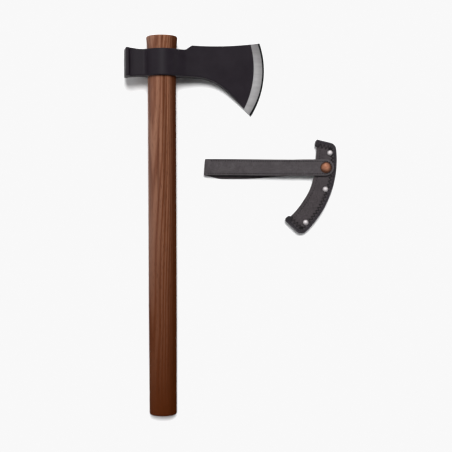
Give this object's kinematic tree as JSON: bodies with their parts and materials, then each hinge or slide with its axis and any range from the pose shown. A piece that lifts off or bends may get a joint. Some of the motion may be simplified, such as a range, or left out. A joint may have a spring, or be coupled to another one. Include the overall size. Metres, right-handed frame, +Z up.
{
  "type": "felling axe",
  "caption": "Short axe with a bearded blade, round slip-fit eye and hammer poll on a straight turned haft, lying beside its curved leather edge sheath with a snap strap.",
  "frame": {"origin": "centre of the whole layout's bounding box in plan, on the floor that it lies on", "axes": "+X across the haft towards the cutting edge, +Y up the haft towards the head, +Z up from the floor"},
  "size_m": [0.2826, 0.5004, 0.0485],
  "materials": {
    "black_coated_steel": "satin black coating, ground bright along the edge",
    "stained_wood": "walnut brown stain, oiled satin",
    "charcoal_leather": "matt, fine grain",
    "black_border": "close black whip stitching and tape",
    "black_thread": "waxed thread",
    "nickel": "polished nickel plate",
    "copper_plate": "satin antique copper plate"
  },
  "bodies": {
    "axe": {"axe_head": "black_coated_steel", "haft": "stained_wood"},
    "sheath": {"sheath_front_panel": "charcoal_leather", "sheath_back_panel": "charcoal_leather", "sheath_welt": "charcoal_leather", "sheath_edge_binding": "black_border", "sheath_seam_thread_front": "black_thread", "sheath_seam_thread_back": "black_thread", "sheath_mouth_thread": "black_thread", "sheath_rivet_1": "nickel", "sheath_rivet_2": "nickel", "sheath_rivet_3": "nickel", "sheath_rivet_back_1": "nickel", "sheath_rivet_back_2": "nickel", "sheath_rivet_back_3": "nickel", "snap_stud": "nickel", "snap_post": "nickel", "strap_fold": "charcoal_leather", "strap_fixed_run": "charcoal_leather"},
    "strap_flap": {"strap_free_run": "charcoal_leather", "strap_stitching": "black_thread", "snap_socket": "nickel", "snap_cap": "copper_plate"}
  },
  "joints": [
    {"name": "sheath_lies_loose", "type": "slide", "parent": "axe", "child": "sheath", "axis": [1, 0, 0], "range_m": [-0.02, 0.1]},
    {"name": "strap_opens", "type": "hinge", "parent": "sheath", "child": "strap_flap", "pos_m": [-0.02958, 0.07734, 0.01095], "axis": [0, -1, 0], "range_deg": [0, 100]}
  ]
}
